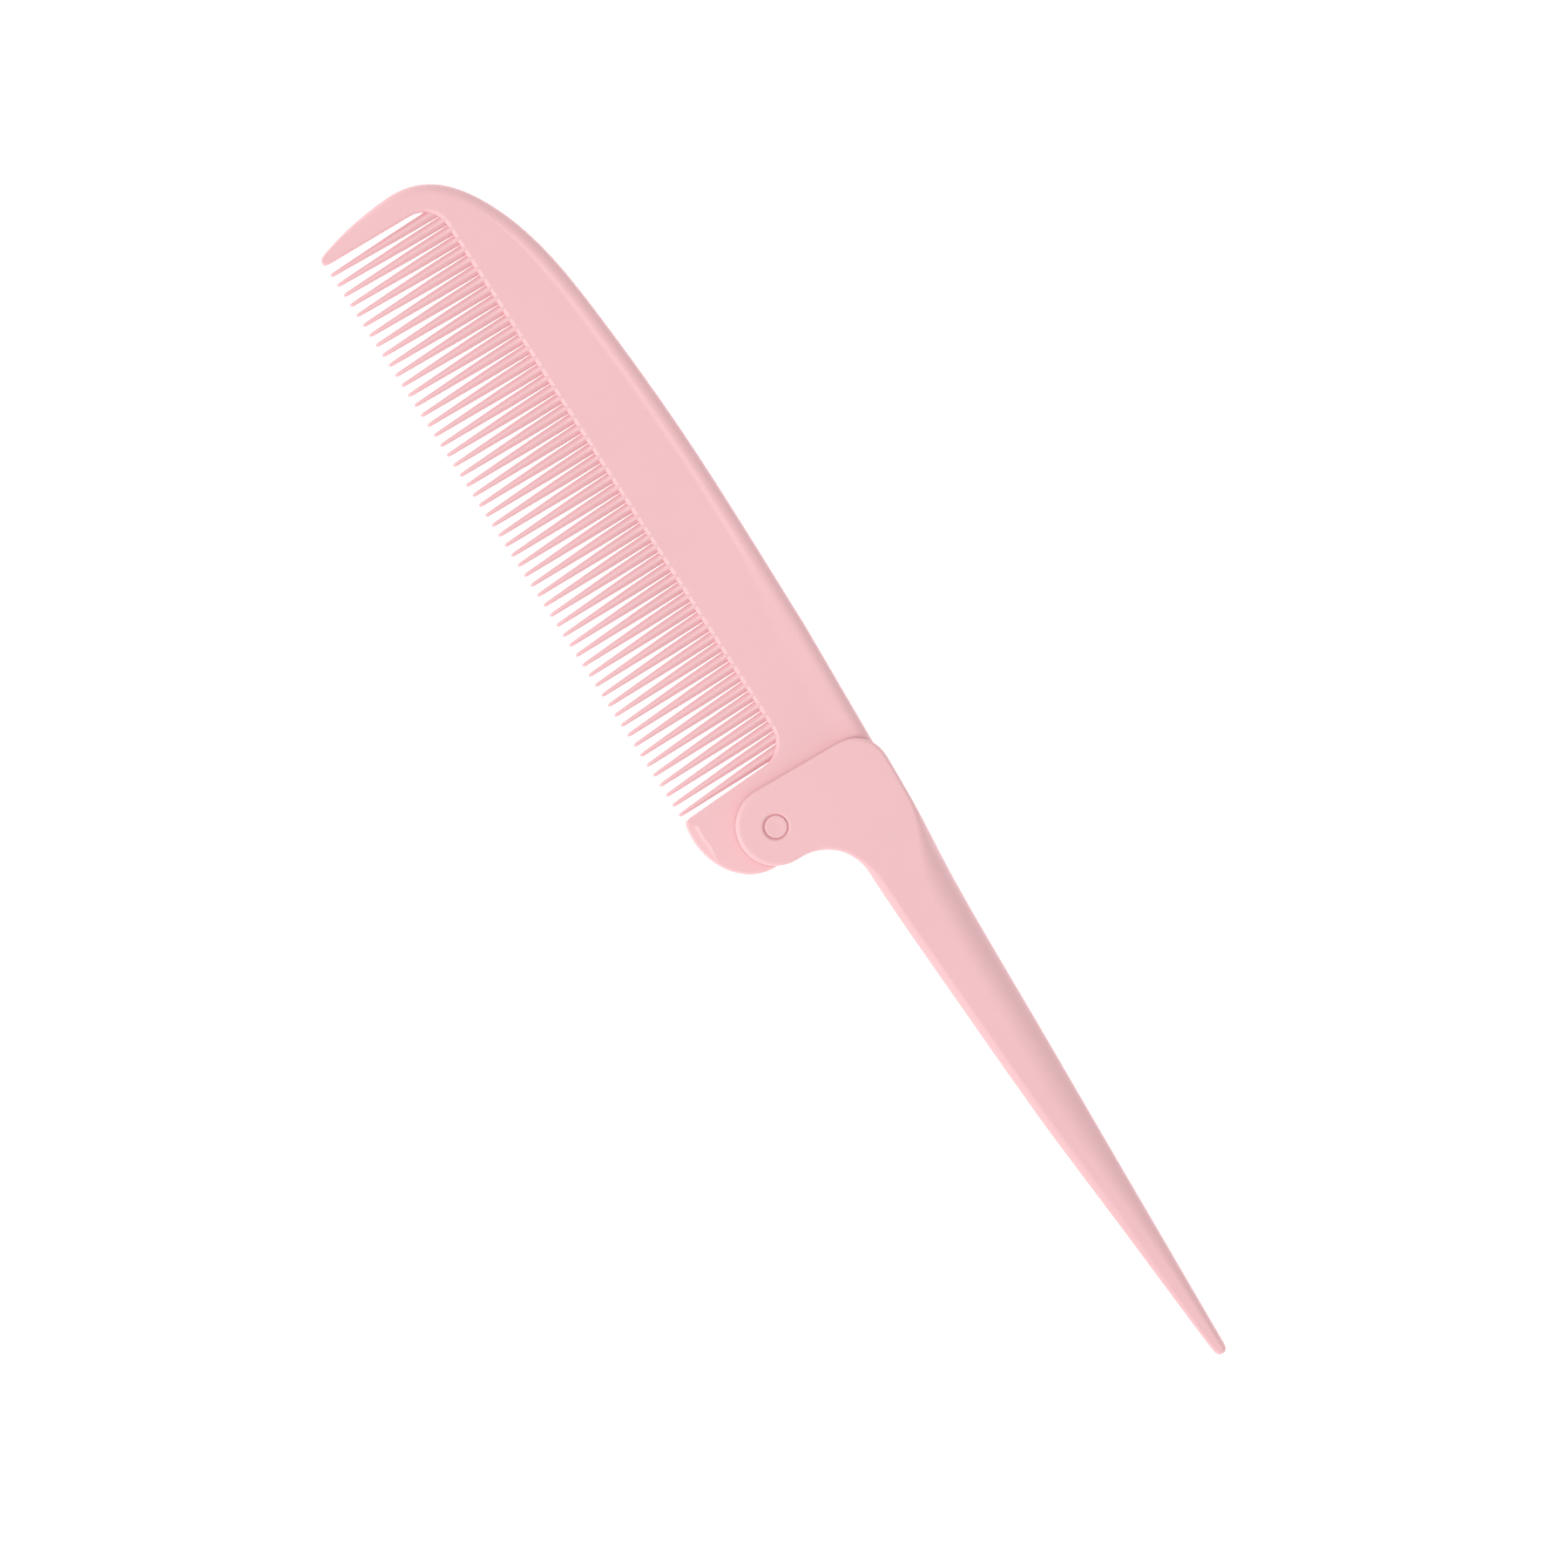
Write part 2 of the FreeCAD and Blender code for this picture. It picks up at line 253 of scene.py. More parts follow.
def resample(loop, step, sharp_degrees):
    """Evenly spaced points along a loop; its sharp corners stay, and the rest is smoothed."""
    count = len(loop)
    corners = []
    for i in range(count):
        before = loop[i] - loop[i - 1]
        after = loop[(i + 1) % count] - loop[i]
        if before.angle(after, 0) > math.radians(sharp_degrees):
            corners.append(i)
    corners = corners or [0]
    points = []
    fixed = []
    for start, end in zip(corners, corners[1:] + [corners[0] + count]):
        span = [loop[i % count] for i in range(start, end + 1)]
        lengths = [(a - b).length for a, b in zip(span, span[1:])]
        steps = max(2, math.ceil(sum(lengths) / step))
        for k in range(steps):
            wanted = sum(lengths) * k / steps
            i = 0
            while i < len(lengths) - 1 and wanted > lengths[i]:
                wanted -= lengths[i]
                i += 1
            points.append(span[i].lerp(span[i + 1], min(wanted / max(lengths[i], 1e-9), 1)))
            fixed.append(k == 0 and len(corners) > 1)
    for _ in range(EASING_ROUNDS):
        eased = []
        for i, p in enumerate(points):
            around = (points[i - 1] + points[(i + 1) % len(points)]) / 2
            eased.append(p if fixed[i] else p.lerp(around, 0.5))
        points = eased
    return points


def inward_normals(points):
    """Unit normals to the left of travel, into the material, eased so that they never cross."""
    normals = []
    for i, p in enumerate(points):
        before = (p - points[i - 1]).normalized()
        after = (points[(i + 1) % len(points)] - p).normalized()
        along = before + after
        normals.append(Vector((-along.y, along.x)).normalized())
    for _ in range(NORMAL_ROUNDS):
        after = normals[1:] + normals[:1]
        normals = [(normals[i - 1] + 2 * n + after[i]).normalized() for i, n in enumerate(normals)]
    return normals


# ---------------------------------------------------------------- moulded plates
RIM_KEYS = ("width", "height", "power", "lift", "flat", "fade", "share")


def cap_rims(points, rims, reach):
    """Shrink each rim so that it uses no more than its share of the material in front of it.

    Material is measured along the inward normal, and the least within a distance counts, so that
    the rims of a narrow end keep clear of each other.
    """
    starts = np.array([tuple(p) for p in points])
    sides = np.roll(starts, -1, 0) - starts
    rooms = []
    for p, n in zip(points, inward_normals(points)):
        to = starts - (p.x, p.y)
        cross = n.x * sides[:, 1] - n.y * sides[:, 0]
        cross[np.abs(cross) < 1e-12] = 1e-12
        ahead = (to[:, 0] * sides[:, 1] - to[:, 1] * sides[:, 0]) / cross
        part = (to[:, 0] * n.y - to[:, 1] * n.x) / cross
        hits = ahead[(part >= 0) & (part <= 1) & (ahead > 0.02 * MM)]
        rooms.append(hits.min() if len(hits) else 1.0)
    rooms = np.array(rooms)
    window = max(1, int(reach / np.linalg.norm(sides, axis=1).mean()))
    offsets = range(-window, window + 1)
    least = np.min([np.roll(rooms, k) for k in offsets], axis=0)
    least = np.mean([np.roll(least, k) for k in offsets], axis=0)
    for rim, room in zip(rims, least):
        used = rim["width"] + rim["flat"] + rim["fade"]
        if used > rim["share"] * room:
            for key in ("width", "flat", "fade"):
                rim[key] *= rim["share"] * room / used


def eased_rims(points, rims, reach):
    """Rim sizes averaged along the loop over a distance, so that they change smoothly."""
    count = len(points)
    table = np.array([[rim[key] for key in RIM_KEYS] for rim in rims])
    loop = np.array([tuple(p) for p in points])
    spacing = np.linalg.norm(np.roll(loop, -1, 0) - loop, axis=1).mean()
    window = max(1, int(reach / spacing))
    total = np.zeros_like(table)
    weight = 0.0
    for offset in range(-2 * window, 2 * window + 1):
        share = math.exp(-((offset / window) ** 2))
        total += share * np.roll(table, offset, 0)
        weight += share
    table = total / weight
    return [dict(zip(RIM_KEYS, table[i])) for i in range(count)]


def rim_profile(rim):
    """Rings of a rim from the side wall inwards: (distance from the outline, drop below the face).

    The curved part is a superellipse: power 2 is a round and power 1 a flat bevel. Then comes a
    flat strip at the rim's own level, and a fade to the level of the face.
    """
    rings = []
    for k in range(RIM_RINGS + 1):
        angle = math.pi / 2 * k / RIM_RINGS
        out = math.cos(angle) ** (2 / rim["power"]) if k < RIM_RINGS else 0.0
        rise = math.sin(angle) ** (2 / rim["power"])
        rings.append((rim["width"] * (1 - out), rim["height"] * (1 - rise) - rim["lift"]))
    for k in range(FADE_RINGS + 1):
        ease = smoothstep(0, 1, k / FADE_RINGS)
        distance = rim["width"] + rim["flat"] + rim["fade"] * k / FADE_RINGS
        rings.append((distance, -rim["lift"] * (1 - ease)))
    rings.append((1.08 * distance, 0.0))
    return rings


def inside(loop, points):
    """Which of many points lie inside a closed loop."""
    x, y = points[:, 0], points[:, 1]
    hit = np.zeros(len(points), bool)
    for a, b in zip(loop, np.roll(loop, -1, 0)):
        crosses = (a[1] > y) != (b[1] > y)
        rise = b[1] - a[1] if b[1] != a[1] else 1e-12
        hit ^= crosses & (x < (b[0] - a[0]) * (y - a[1]) / rise + a[0])
    return hit


def rim_rows(bm, points, rims, face_height):
    """Rims front and rear of one loop and the wall between; gives their innermost rings."""
    normals = inward_normals(points)
    profiles = [rim_profile(rim) for rim in rims]
    rows = {1: [], -1: []}
    for k in range(len(profiles[0])):
        ring = []
        for p, n, profile in zip(points, normals, profiles):
            spot = p + n * profile[k][0]
            ring.append((spot.x, spot.y, max(face_height(spot) - profile[k][1], 0.0)))
        for side, row in rows.items():
            row.append([bm.verts.new((x, y, MID_Z + side * z)) for x, y, z in ring])
    strips = [(rows[-1][0], rows[1][0])]
    strips += list(zip(rows[1], rows[1][1:]))
    strips += list(zip(rows[-1][1:], rows[-1]))
    for low, high in strips:
        for i in range(len(points)):
            j = (i + 1) % len(points)
            bm.faces.new((low[i], low[j], high[j], high[i]))
    return rows[1][-1], rows[-1][-1]


def face_triangles(rings, grid):
    """Fine flat mesh within the first ring and round the other rings.

    Gives its points, its triangles, and for each point the border points that it stands on.
    """
    low, high = rings[0].min(0), rings[0].max(0)
    xs = np.arange(low[0], high[0], grid)
    ys = np.arange(low[1], high[1], grid)
    field = np.array([(x, y) for x in xs for y in ys])
    keep = inside(rings[0], field)
    for hole in rings[1:]:
        keep &= ~inside(hole, field)
    field = field[keep]
    nearest = np.full(len(field), np.inf)
    for ring in rings:
        for x, y in ring:
            nearest = np.minimum(nearest, (field[:, 0] - x) ** 2 + (field[:, 1] - y) ** 2)
    field = field[nearest > (0.6 * grid) ** 2]
    flat = [Vector(p) for ring in rings for p in ring]
    edges = []
    base = 0
    for ring in rings:
        edges += [(base + i, base + (i + 1) % len(ring)) for i in range(len(ring))]
        base += len(ring)
    flat += [Vector(p) for p in field]
    within_edges = 1
    found = delaunay_2d_cdt(flat, edges, [], within_edges, 1e-9)
    spots, faces, origins = found[0], found[2], found[3]
    centres = np.array([tuple(centre([spots[i] for i in face])) for face in faces])
    solid = np.ones(len(centres), bool)
    for hole in rings[1:]:
        solid &= ~inside(hole, centres)
    return spots, [face for face, kept in zip(faces, solid) if kept], origins


def plate(name, loops, face_height, grid):
    """Closed plate, the same front and rear: rims round every loop and a fine mesh between.

    loops is a list of (points, rims), the outer loop first. face_height gives the flat face's
    height above the middle plane at a point. grid is the spacing of points across the face.
    """
    bm = bmesh.new()
    borders = [rim_rows(bm, points, rims, face_height) for points, rims in loops]
    rings = [np.array([v.co.to_2d()[:] for v in front]) for front, _ in borders]
    spots, faces, origins = face_triangles(rings, grid)
    for side, which in ((1, 0), (-1, 1)):
        border = [v for pair in borders for v in pair[which]]
        verts = []
        for spot, origin in zip(spots, origins):
            rim = [i for i in origin if i < len(border)]
            if rim:
                verts.append(border[rim[0]])
            else:
                verts.append(bm.verts.new((spot.x, spot.y, MID_Z + side * face_height(spot))))
        for face in faces:
            corner = [verts[i] for i in face]
            if len(set(corner)) == 3:
                bm.faces.new(corner if side > 0 else corner[::-1])
    return piece_from(bm, name)


def prism(points, half, name):
    """Closed prism about the middle plane, for cutting a slot."""
    bm = bmesh.new()
    low = [bm.verts.new((x, y, MID_Z - half)) for x, y in points]
    high = [bm.verts.new((x, y, MID_Z + half)) for x, y in points]
    bm.faces.new(low[::-1])
    bm.faces.new(high)
    for i in range(len(points)):
        j = (i + 1) % len(points)
        bm.faces.new((low[i], low[j], high[j], high[i]))
    return piece_from(bm, name)


def carve(obj, cutter):
    """Cut one closed mesh out of another, for good."""
    cut = obj.modifiers.new("carve", "BOOLEAN")
    cut.operation = "DIFFERENCE"
    cut.solver = "EXACT"
    cut.object = cutter
    graph = bpy.context.evaluated_depsgraph_get()
    mesh = bpy.data.meshes.new_from_object(obj.evaluated_get(graph))
    obj.modifiers.remove(cut)
    obj.data = mesh
    bpy.data.objects.remove(cutter)


# ---------------------------------------------------------------- handle
def tail_stations():
    """(x, inner y, back y, half thickness) from the head's rear corner to where the tip rounds."""
    stations = []
    end = TAIL_TIP_X + TIP_ROUND
    for k in range(TAIL_CUTS + 1):
        x = mix(BACK_X, end, k / TAIL_CUTS)
        points = [p for loop in cut_loops("handle", (x, 0, 0), (1, 0, 0)) for p in loop]
        ys = [p.y for p in points]
        stations.append((x, max(ys), min(ys), max(p.z for p in points) - MID_Z))
    return stations


def handle_outline(stations):
    """Head's outline from a flat cut near its front face, and the tail's from its stations."""
    cut = cut_loops("handle", (0, 0, MID_Z + HEAD_HALF - 0.8 * MM), UP)
    loop = turned(cut[0])
    middle = mix(stations[0][1], stations[0][2], 0.5)
    first = next(i for i, p in enumerate(loop) if p.x > BACK_X >= loop[i - 1].x and p.y < middle)
    loop = loop[first:] + loop[:first]
    last = next(i for i, p in enumerate(loop) if p.x < NECK_X)
    head = loop[:last]
    inner = [Vector((x, top)) for x, top, _, _ in stations if x < NECK_X]
    back = [Vector((x, low)) for x, _, low, _ in stations]
    end = (inner[-1] + back[-1]) / 2
    half = (inner[-1].y - back[-1].y) / 2
    tip = []
    for k in range(1, TIP_POINTS):
        angle = math.pi * k / TIP_POINTS
        out = TIP_ROUND * math.sin(angle) ** TIP_BLUNT
        across = math.copysign(half * abs(math.cos(angle)) ** TIP_BLUNT, math.cos(angle))
        tip.append(end + Vector((-out, across)))
    return resample(head + inner + tip + back[::-1], 0.35 * MM, sharp_degrees=40)


def handle_rim(p, stations):
    """Rim sizes of the handle at a point of its outline."""
    rim = {"width": EDGE_WIDTH, "height": EDGE_ROUND, "power": 2.0, "lift": 0.0}
    rim.update(flat=LEAST_FLAT, fade=LEAST_FADE, share=0.4)
    row = min(stations, key=lambda s: abs(s[0] - p.x))
    wide = row[1] - row[2]
    half = tail_half(p.x, stations)
    on_knuckle = smoothstep(-10 * MM, -5 * MM, p.y) * smoothstep(-8 * MM, -4 * MM, p.x)
    late = smoothstep(END_FROM, END_TO, p.x)
    rim["width"] = mix(EDGE_WIDTH, KNUCKLE_EDGE_WIDTH, on_knuckle)
    if p.y < mix(row[1], row[2], 0.5) and p.x < -6 * MM:
        grown = smoothstep(-6 * MM, -21 * MM, p.x)
        full = min(BACK_ROUND_WIDTH, mix(BACK_ROUND_SHARE, END_ROUND_SHARE, late) * wide)
        rim["width"] = mix(EDGE_WIDTH, full, grown)
        rim["height"] = mix(EDGE_ROUND, half, smoothstep(-6 * MM, -15 * MM, p.x))
        rim["share"] = BACK_ROOM
    elif p.x < -9 * MM and p.y < -5 * MM:
        grown = smoothstep(-10 * MM, -15 * MM, p.x)
        full = min(BEVEL_WIDTH, mix(BEVEL_SHARE, END_BEVEL_SHARE, late) * wide)
        rim["width"] = mix(EDGE_WIDTH, full, grown)
        drop = min(BEVEL_HEIGHT, 0.45 * half) * (1 - 0.55 * late)
        rim["height"] = mix(EDGE_ROUND, drop, grown)
        rim["power"] = mix(2.0, 1.2, grown)
        rim["share"] = BEVEL_ROOM
    if p.x < TAIL_TIP_X + TIP_ROUND:
        rim.update(width=0.75 * TIP_ROUND, height=0.8 * half, power=2.0, share=0.4)
    return rim


def tail_half(x, stations):
    """Half of the handle's thickness at x."""
    if x >= stations[0][0]:
        return HEAD_HALF
    for a, b in zip(stations, stations[1:]):
        if x >= b[0]:
            return mix(b[3], a[3], (x - b[0]) / (a[0] - b[0]))
    return stations[-1][3]


def hole_rims(count, width):
    """The same nearly flat chamfer at every point of a hole."""
    rim = {"width": width, "height": 1.2 * width, "power": 1.25, "lift": 0.0}
    rim.update(flat=LEAST_FLAT, fade=LEAST_FADE, share=0.5)
    return [rim] * count


def ring_points(radius, count):
    """Clockwise ring about the pivot, so that its left side is in the material."""
    return [
        Vector((math.cos(a), math.sin(a))) * radius
        for a in (-2 * math.pi * k / count for k in range(count))
    ]


def tooth_floor(x):
    """y of the floor of the tail's slot."""
    first, last = tooth_row[0], tooth_row[-1]
    slope = (last["tip"].y - first["tip"].y) / (last["tip"].x - first["tip"].x)
    return TOOTH_FLOOR_Y + slope * x


def make_handle():
    """Both cheeks, the neck and the tail, with the slot cut through."""
    stations = tail_stations()
    points = handle_outline(stations)
    rims = eased_rims(points, [handle_rim(p, stations) for p in points], 1.0 * MM)
    cap_rims(points, rims, 0.4 * MM)
    bore = ring_points(PIN_HIGH.x, BORE_POINTS)
    loops = [(points, rims), (bore, hole_rims(len(bore), COUNTERSINK))]
    handle = plate("handle_moulding", loops, lambda p: tail_half(p.x, stations), 1.3 * MM)
    far = 30 * MM
    tang_room = [
        (STOP_X, -far), (far, -far), (far, far), (GUARD_SLOT_X, far),
        (GUARD_SLOT_X, GUARD_FLOOR_Y), (STOP_X, GUARD_FLOOR_Y),
    ]
    start = GUARD_SLOT_X + 0.2 * MM
    tooth_room = [
        (start, tooth_floor(start)), (start, far), (TOOTH_SLOT_X, far),
        (TOOTH_SLOT_X, tooth_floor(TOOTH_SLOT_X)),
    ]
    carve(handle, prism(tang_room, SLOT_HALF, "tang_room"))
    carve(handle, prism(tooth_room, TOOTH_SLOT_HALF, "tooth_room"))
    return handle


# ---------------------------------------------------------------- comb
def islands(node):
    """Points of each separate solid in a CAD node."""
    bm = bmesh.new()
    bm.from_mesh(frame["nodes"][node].data)
    bmesh.ops.remove_doubles(bm, verts=bm.verts, dist=1e-6)
    found = []
    left = dict.fromkeys(bm.verts)
    while left:
        stack = [take_first(left)]
        island = []
        while stack:
            vert = stack.pop()
            island.append(vert.co.to_2d())
            for edge in vert.link_edges:
                other = edge.other_vert(vert)
                if other in left:
                    del left[other]
                    stack.append(other)
        found.append(island)
    bm.free()
    return found


def read_teeth():
    """Tip, direction into the comb and depth of every CAD tooth, nearest the pivot first."""
    teeth = []
    for island in islands("comb_teeth"):
        top = max(p.y for p in island)
        tip = centre([p for p in island if p.y > top - 0.1 * MM])
        body = centre([p for p in island if 11.5 * MM < top - p.y < 12.5 * MM])
        inward = (body - tip).normalized()
        depth = max((p - tip).dot(inward) for p in island)
        teeth.append({"tip": tip, "inward": inward, "depth": depth})
    return sorted(teeth, key=lambda tooth: tooth["tip"].x)


tooth_row = read_teeth()
ALONG = (tooth_row[-1]["tip"] - tooth_row[0]["tip"]).normalized()
ACROSS = Vector((-ALONG.y, ALONG.x))
ROOT_DEPTH = max(tooth["depth"] for tooth in tooth_row)


def spine_rim(p):
    """Rim sizes of the spine, guards and tang at a point of the outline."""
    rim = {"width": GAP_BEVEL, "height": GAP_BEVEL, "power": 1.3, "lift": 0.0}
    rim.update(flat=LEAST_FLAT, fade=LEAST_FADE)
    rim["share"] = mix(0.42, 0.27, smoothstep(8 * MM, 12 * MM, p.y))
    u, v = p.dot(ALONG), p.dot(ACROSS)
    in_gap = GAPS_FROM < u < GAPS_TO and v > ROOT_LINE - 0.6 * MM
    if in_gap:
        at_root = 1 - smoothstep(ROOT_LINE + 1 * MM, ROOT_LINE + 3.5 * MM, v)
        rim["width"] = mix(GAP_BEVEL, ROOT_BEVEL, at_root)
        rim["height"] = mix(GAP_BEVEL, ROOT_BEVEL_DROP, at_root)
        rim["power"] = mix(1.3, 1.1, at_root)
    elif p.y > 2 * MM and p.x < 60 * MM:
        lip = smoothstep(-1 * MM, 2.5 * MM, p.x) * (1 - smoothstep(6.8 * MM, 7.2 * MM, p.x))
        rim.update(width=0.5 * MM, height=0.6 * MM, power=2.0, lift=-LIP_DEPTH * lip)
        rim.update(flat=mix(LEAST_FLAT, LIP_WIDTH, lip), fade=mix(LEAST_FADE, 0.5 * MM, lip))
    elif p.x > 4 * MM:
        near_tip = smoothstep(6 * MM, 15 * MM, p.y)
        bead = 1 - smoothstep(88 * MM, 106 * MM, p.x)
        rim["width"] = mix(SPINE_ROUND_WIDTH, 0.75 * MM, near_tip)
        rim["height"] = mix(SPINE_HALF, 0.75 * SPINE_HALF, near_tip)
        rim["power"] = 2.0
        rim["lift"] = FACE_HOLLOW * bead
        bead_fade = mix(3.2 * MM, 0.9 * MM, smoothstep(20 * MM, 42 * MM, p.x))
        rim["fade"] = mix(0.2 * MM, bead_fade, bead)
    return rim


def make_spine():
    """Spine, guards and tang in one plate with the pivot hole."""
    cut = cut_loops("comb_spine", (0, 0, MID_Z), UP)
    points = resample(turned(cut[0]), 0.3 * MM, sharp_degrees=180)
    rims = eased_rims(points, [spine_rim(p) for p in points], 0.25 * MM)
    cap_rims(points, rims, 1.0 * MM)
    hole = ring_points(PIN_HIGH.x + 0.05 * MM, TANG_HOLE_POINTS)
    loops = [(points, rims), (hole, hole_rims(len(hole), 0.1 * MM))]
    return plate("comb_blade", loops, lambda p: SPINE_HALF - FACE_HOLLOW, 1.4 * MM)


def tooth_stations(depth):
    """(distance from the tip, width, half thickness) of a tooth, from its tip into the spine.

    A full tooth's ridge rises to the spine's face across the bevel at the roots. The teeth that
    meet the round corners end lower.
    """
    rows = [(d * MM, w * MM, t * MM) for d, w, t in TOOTH_TABLE if d * MM < depth - 1.0 * MM]
    wide = RIDGE_WIDTH
    if depth > ROOT_DEPTH - 0.15 * MM:
        face = SPINE_HALF - FACE_HOLLOW
        rows.append((depth - 1.2 * MM, 1.66 * MM, 1.06 * MM))
        rows.append((depth, wide, 1.24 * MM))
        rows.append((depth + ROOT_BEVEL, wide, face + 0.01 * MM))
        rows.append((depth + ROOT_BEVEL + TOOTH_BURY, wide, face - 0.06 * MM))
    else:
        rows.append((depth + TOOTH_BURY, mix(1.5 * MM, wide, depth / ROOT_DEPTH), 0.96 * MM))
    return rows


def tooth_section(width, half, side):
    """Ring of (across, up): flat bands front and rear, sloping flanks and upright sides.

    side is the height of the upright sides, as a part of the half thickness.
    """
    band = TOOTH_BAND
    quarter = [(1.0, 0.0), (1.0, side), (0.96, mix(side, 1, 0.16)), (mix(band, 1, 0.16), 0.9)]
    quarter += [(band * 0.9, 0.985), (band * 0.5, 1.0)]
    upper = quarter + [(-x, z) for x, z in quarter[::-1]]
    ring = upper + [(x, -z) for x, z in upper[::-1][1:-1]]
    return [(x * width / 2, z * half) for x, z in ring]


def make_teeth():
    """Row of tapered teeth, one to each CAD tooth."""
    bm = bmesh.new()
    for tooth in tooth_row:
        inward = tooth["inward"]
        aside = Vector((-inward.y, inward.x))
        rows = []
        for depth, width, half in tooth_stations(tooth["depth"]):
            middle = tooth["tip"] + inward * depth
            side = mix(0.5, 0.16, min(depth / ROOT_DEPTH, 1) ** 2.5)
            ring = []
            for x, z in tooth_section(width, half, side):
                spot = middle + aside * x
                ring.append(bm.verts.new((spot.x, spot.y, MID_Z + z)))
            rows.append(ring)
        for a, b in zip(rows, rows[1:]):
            for i in range(len(a)):
                j = (i + 1) % len(a)
                bm.faces.new((a[i], a[j], b[j], b[i]))
        bm.faces.new(rows[0][::-1])
        bm.faces.new(rows[-1])
    return piece_from(bm, "comb_tooth_row")


# ---------------------------------------------------------------- pivot pin
def make_pin():
    """Pin turned about the pivot, with softened rims and a slightly dished end."""
    radius = PIN_HIGH.x
    profile = [(0.0, PIN_HIGH.z - PIN_DISH), (radius / 2, PIN_HIGH.z - 0.7 * PIN_DISH)]
    profile.append((radius - 2 * PIN_SOFT, PIN_HIGH.z))
    steps = 8
    for k in range(steps + 1):
        angle = math.pi / 2 * k / steps
        r = radius - PIN_SOFT + PIN_SOFT * math.sin(angle)
        profile.append((r, PIN_HIGH.z - PIN_DROP * (1 - math.cos(angle))))
    profile.append((radius, MID_Z))
    profile.append((radius, PIN_LOW.z + PIN_SOFT / 2))
    profile.append((radius - PIN_SOFT, PIN_LOW.z))
    profile.append((0.0, PIN_LOW.z))
    bm = bmesh.new()
    angles = [2 * math.pi * k / PIN_COUNT for k in range(PIN_COUNT)]
    rings = []
    for r, z in profile:
        if r == 0:
            rings.append([bm.verts.new((0, 0, z))])
        else:
            rings.append([bm.verts.new((r * math.cos(a), r * math.sin(a), z)) for a in angles])
    for a, b in zip(rings, rings[1:]):
        for i in range(PIN_COUNT):
            j = (i + 1) % PIN_COUNT
            corners = [a[i % len(a)], b[i % len(b)], b[j % len(b)], a[j % len(a)]]
            bm.faces.new(list(dict.fromkeys(corners)))
    return piece_from(bm, "pivot_pin_end")


# ---------------------------------------------------------------- materials
def moulded_plastic(name, colour, roughness, seed):
    """Satin moulded plastic: faint cloudiness, fine skin, slightly translucent."""
    material = bpy.data.materials.new(name)
    material.use_nodes = True
    nodes, links = material.node_tree.nodes, material.node_tree.links
    shader = nodes["Principled BSDF"]
    place = nodes.new("ShaderNodeTexCoord")
    shift = nodes.new("ShaderNodeMapping")
    shift.inputs["Location"].default_value = (seed, -seed, 2 * seed)
    links.new(place.outputs["Object"], shift.inputs["Vector"])

    cloud = nodes.new("ShaderNodeTexNoise")
    cloud.inputs["Scale"].default_value = 60
    cloud.inputs["Detail"].default_value = 3
    links.new(shift.outputs["Vector"], cloud.inputs["Vector"])
    tint = nodes.new("ShaderNodeValToRGB")
    tint.color_ramp.elements[0].position = 0.3
    tint.color_ramp.elements[1].position = 0.7
    tint.color_ramp.elements[0].color = (*[c * 0.985 for c in colour], 1)
    tint.color_ramp.elements[1].color = (*[min(c * 1.012, 1) for c in colour], 1)
    links.new(cloud.outputs["Fac"], tint.inputs["Fac"])
    links.new(tint.outputs["Color"], shader.inputs["Base Color"])

    sheen = nodes.new("ShaderNodeMapRange")
    sheen.inputs["To Min"].default_value = roughness - 0.04
    sheen.inputs["To Max"].default_value = roughness + 0.04
    smear = nodes.new("ShaderNodeTexNoise")
    smear.inputs["Scale"].default_value = 220
    smear.inputs["Detail"].default_value = 4
    links.new(shift.outputs["Vector"], smear.inputs["Vector"])
    links.new(smear.outputs["Fac"], sheen.inputs["Value"])
    links.new(sheen.outputs["Result"], shader.inputs["Roughness"])

    skin = nodes.new("ShaderNodeTexNoise")
    skin.inputs["Scale"].default_value = 2600
    skin.inputs["Detail"].default_value = 2
    links.new(shift.outputs["Vector"], skin.inputs["Vector"])
    bump = nodes.new("ShaderNodeBump")
    bump.inputs["Strength"].default_value = 0.06
    bump.inputs["Distance"].default_value = 0.00004
    links.new(skin.outputs["Fac"], bump.inputs["Height"])
    links.new(bump.outputs["Normal"], shader.inputs["Normal"])

    shader.inputs["Specular IOR Level"].default_value = 0.42
    shader.inputs["Subsurface Weight"].default_value = 0.08
    shader.inputs["Subsurface Radius"].default_value = (1.0, 0.45, 0.4)
    shader.inputs["Subsurface Scale"].default_value = 0.0012
    return material


PINK = (0.84, 0.505, 0.53)
FINISHES = {
    "handle_plastic": moulded_plastic("handle_plastic", PINK, 0.47, 0.3),
    "pin_plastic": moulded_plastic("pin_plastic", PINK, 0.45, 1.7),
    "comb_plastic": moulded_plastic("comb_plastic", PINK, 0.47, 3.1),
}


# ---------------------------------------------------------------- pieces
def finish_piece(piece, node, body, slot, degrees=32):
    """Shade, paint and mount one piece that stands for a CAD node."""
    smooth_shading(piece, degrees)
    piece.data.materials.clear()
    piece.data.materials.append(FINISHES[slot])
    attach(piece, body)
    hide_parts(node)


finish_piece(make_handle(), "handle", "handle", "handle_plastic")
finish_piece(make_pin(), "pivot_pin", "handle", "pin_plastic", 50)
finish_piece(make_spine(), "comb_spine", "comb", "comb_plastic")
finish_piece(make_teeth(), "comb_teeth", "comb", "comb_plastic", 40)


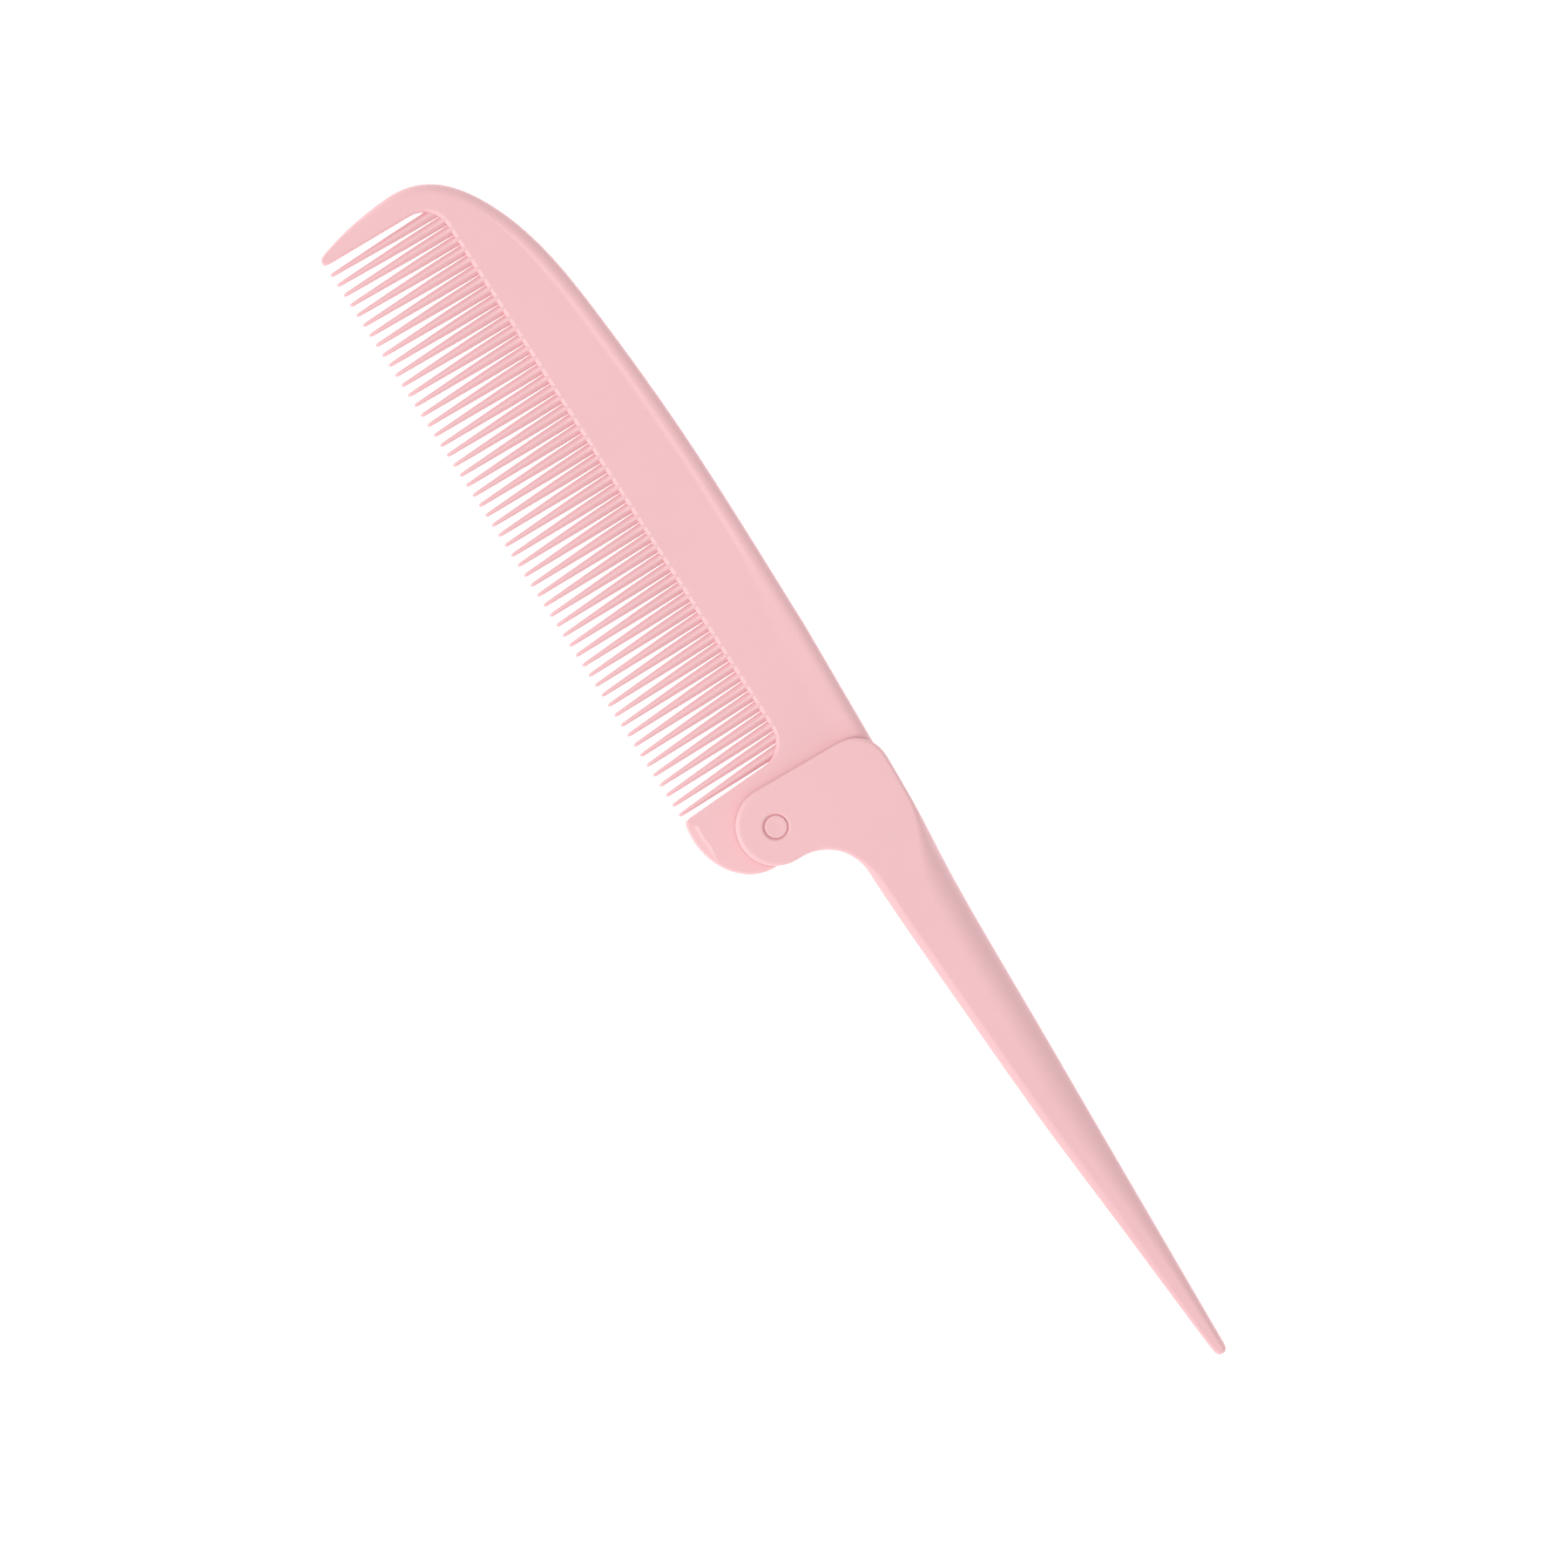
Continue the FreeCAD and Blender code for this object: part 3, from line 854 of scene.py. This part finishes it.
# ---------------------------------------------------------------- stage
def make_floor():
    """Plain white floor that glows a little, so that shadows on it stay faint."""
    bm = bmesh.new()
    bmesh.ops.create_grid(bm, x_segments=8, y_segments=8, size=4)
    floor = piece_from(bm, "floor")
    floor.location.z = cad_low.z - FLOOR_GAP
    material = bpy.data.materials.new("white_floor")
    material.use_nodes = True
    shader = material.node_tree.nodes["Principled BSDF"]
    shader.inputs["Base Color"].default_value = (0.5, 0.5, 0.5, 1)
    shader.inputs["Roughness"].default_value = 1
    shader.inputs["Specular IOR Level"].default_value = 0
    shader.inputs["Emission Color"].default_value = (1, 1, 1, 1)
    shader.inputs["Emission Strength"].default_value = 1.0
    floor.data.materials.append(material)


def area_light(name, place, target, size, power):
    """Round soft light at a place, turned to a target."""
    light = bpy.data.lights.new(name, "AREA")
    light.shape = "DISK"
    light.size = size
    light.energy = power
    lamp = bpy.data.objects.new(name, light)
    bpy.context.scene.collection.objects.link(lamp)
    lamp.location = place
    aim = Vector(target) - Vector(place)
    lamp.rotation_euler = aim.to_track_quat("-Z", "Y").to_euler()


def make_lights():
    """Even white surroundings and one large soft light from the side of the tooth tips."""
    world = bpy.data.worlds.new("studio")
    world.use_nodes = True
    nodes, links = world.node_tree.nodes, world.node_tree.links
    sky = nodes["Background"]
    sky.inputs["Color"].default_value = (1, 1, 1, 1)
    place = nodes.new("ShaderNodeTexCoord")
    axes = nodes.new("ShaderNodeSeparateXYZ")
    links.new(place.outputs["Generated"], axes.inputs["Vector"])
    strength = nodes.new("ShaderNodeMapRange")
    strength.inputs["From Min"].default_value = -1
    strength.inputs["To Min"].default_value = SKY_WEAK
    strength.inputs["To Max"].default_value = SKY_STRONG
    links.new(axes.outputs["Y"], strength.inputs["Value"])
    links.new(strength.outputs["Result"], sky.inputs["Strength"])
    bpy.context.scene.world = world
    area_light("key", KEY_PLACE, (0, 0, 0), KEY_SIZE, KEY_POWER)


def make_camera():
    """Long lens straight above, turned as the picture is."""
    view_width = 237.8 * MM
    turn = math.radians(-120.23)
    aim = Vector((4.99 * MM, -4.29 * MM, MID_Z))
    camera = bpy.data.cameras.new("camera")
    camera.lens = 200
    camera.sensor_width = 36
    distance = view_width * camera.lens / camera.sensor_width
    camera.clip_end = 20
    seen = bpy.data.objects.new("camera", camera)
    bpy.context.scene.collection.objects.link(seen)
    seen.location = aim + UP * distance
    seen.rotation_euler = Euler((0, 0, turn))
    bpy.context.scene.camera = seen


make_floor()
make_lights()
make_camera()
bpy.context.scene.view_settings.view_transform = "Standard"
